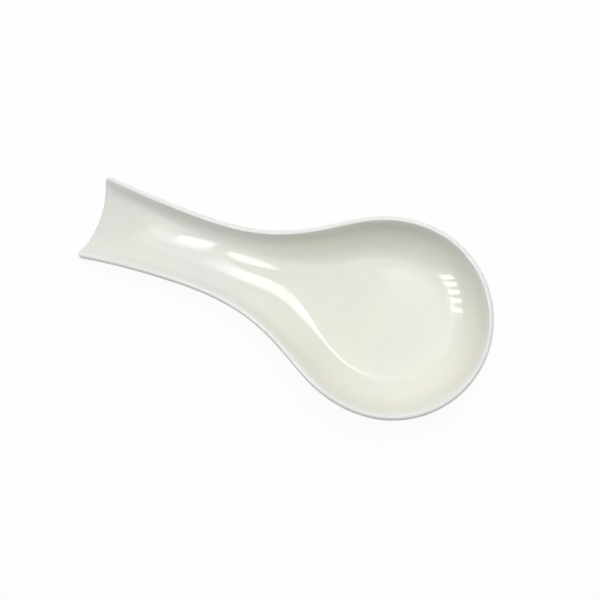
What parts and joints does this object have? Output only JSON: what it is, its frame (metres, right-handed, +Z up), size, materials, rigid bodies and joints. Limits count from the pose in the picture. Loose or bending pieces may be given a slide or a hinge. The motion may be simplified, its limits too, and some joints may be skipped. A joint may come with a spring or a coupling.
{
  "type": "spoon rest",
  "caption": "Glazed ceramic spoon rest with a round bowl that runs into an arched trough handle with a fishtail end, standing on dry clay feet.",
  "frame": {"origin": "on the table, under the middle of the overall length and width", "axes": "+X from the tail of the handle towards the bowl, +Z up from the table, +Y to the left when looking along +X"},
  "size_m": [0.2439, 0.1168, 0.024],
  "materials": {
    "glaze": "clear gloss glaze over ivory white stoneware, faintly mottled",
    "dry_clay": "bare fired clay, wiped free of glaze and ground flat"
  },
  "bodies": {
    "root": {"dish": "glaze", "ring_foot": "dry_clay", "tail_foot": "dry_clay"}
  },
  "joints": []
}
